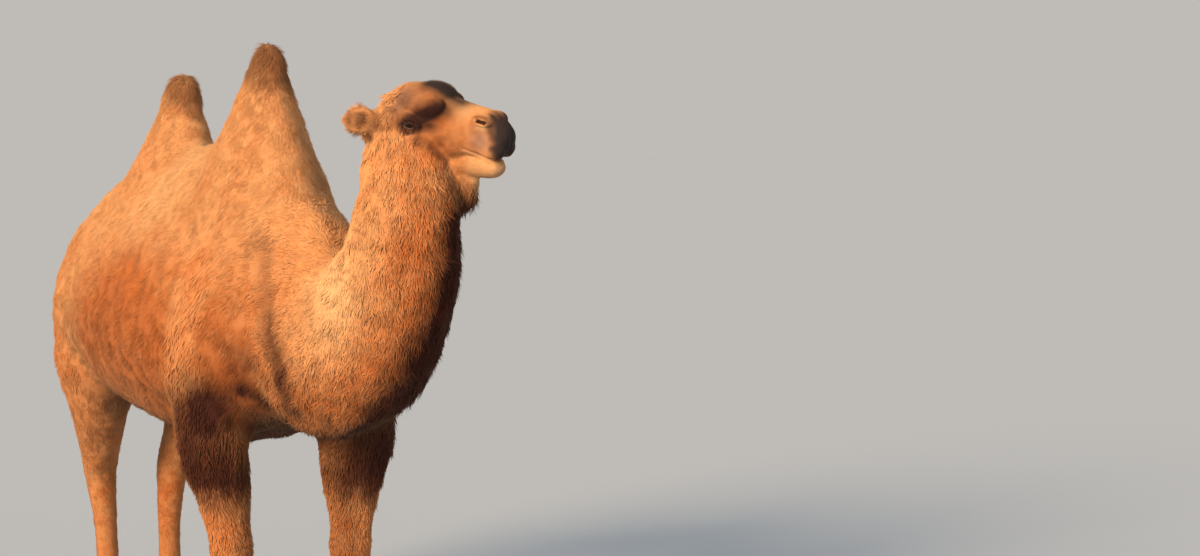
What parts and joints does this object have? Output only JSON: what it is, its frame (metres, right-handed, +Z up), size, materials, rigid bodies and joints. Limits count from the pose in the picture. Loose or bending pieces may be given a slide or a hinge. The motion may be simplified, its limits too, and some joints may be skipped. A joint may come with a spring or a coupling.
{
  "type": "bactrian camel",
  "caption": "Standing bactrian camel, life size, head turned to its left; humps, woolly neck and body, flat padded feet. A still model.",
  "frame": {"origin": "on the ground, under the centre of the camel's bounding box", "axes": "+Z up, the camel faces -Y, +X is its left side"},
  "size_m": [0.8064, 2.4016, 2.0646],
  "materials": {
    "ear_left": "woolly coat",
    "ear_right": "woolly coat",
    "eye_left": "wet gloss",
    "eye_right": "wet gloss",
    "fore_foot_left": "woolly coat",
    "fore_foot_right": "woolly coat",
    "fore_lower_leg_left": "woolly coat",
    "fore_lower_leg_right": "woolly coat",
    "fore_nail_inner_left": "horn",
    "fore_nail_inner_right": "horn",
    "fore_nail_outer_left": "horn",
    "fore_nail_outer_right": "horn",
    "fore_upper_leg_left": "woolly coat",
    "fore_upper_leg_right": "woolly coat",
    "head": "woolly coat",
    "hind_foot_left": "woolly coat",
    "hind_foot_right": "woolly coat",
    "hind_lower_leg_left": "woolly coat",
    "hind_lower_leg_right": "woolly coat",
    "hind_nail_inner_left": "horn",
    "hind_nail_inner_right": "horn",
    "hind_nail_outer_left": "horn",
    "hind_nail_outer_right": "horn",
    "hind_upper_leg_left": "woolly coat",
    "hind_upper_leg_right": "woolly coat",
    "hump_front": "woolly coat",
    "hump_rear": "woolly coat",
    "lower_jaw": "woolly coat",
    "neck_lower": "woolly coat",
    "neck_upper": "woolly coat",
    "tail": "woolly coat",
    "trunk": "woolly coat"
  },
  "bodies": {
    "root": {"ear_left": "ear_left", "ear_right": "ear_right", "eye_left": "eye_left", "eye_right": "eye_right", "fore_foot_left": "fore_foot_left", "fore_foot_right": "fore_foot_right", "fore_lower_leg_left": "fore_lower_leg_left", "fore_lower_leg_right": "fore_lower_leg_right", "fore_nail_inner_left": "fore_nail_inner_left", "fore_nail_inner_right": "fore_nail_inner_right", "fore_nail_outer_left": "fore_nail_outer_left", "fore_nail_outer_right": "fore_nail_outer_right", "fore_upper_leg_left": "fore_upper_leg_left", "fore_upper_leg_right": "fore_upper_leg_right", "head": "head", "hind_foot_left": "hind_foot_left", "hind_foot_right": "hind_foot_right", "hind_lower_leg_left": "hind_lower_leg_left", "hind_lower_leg_right": "hind_lower_leg_right", "hind_nail_inner_left": "hind_nail_inner_left", "hind_nail_inner_right": "hind_nail_inner_right", "hind_nail_outer_left": "hind_nail_outer_left", "hind_nail_outer_right": "hind_nail_outer_right", "hind_upper_leg_left": "hind_upper_leg_left", "hind_upper_leg_right": "hind_upper_leg_right", "hump_front": "hump_front", "hump_rear": "hump_rear", "lower_jaw": "lower_jaw", "neck_lower": "neck_lower", "neck_upper": "neck_upper", "tail": "tail", "trunk": "trunk"}
  },
  "joints": []
}
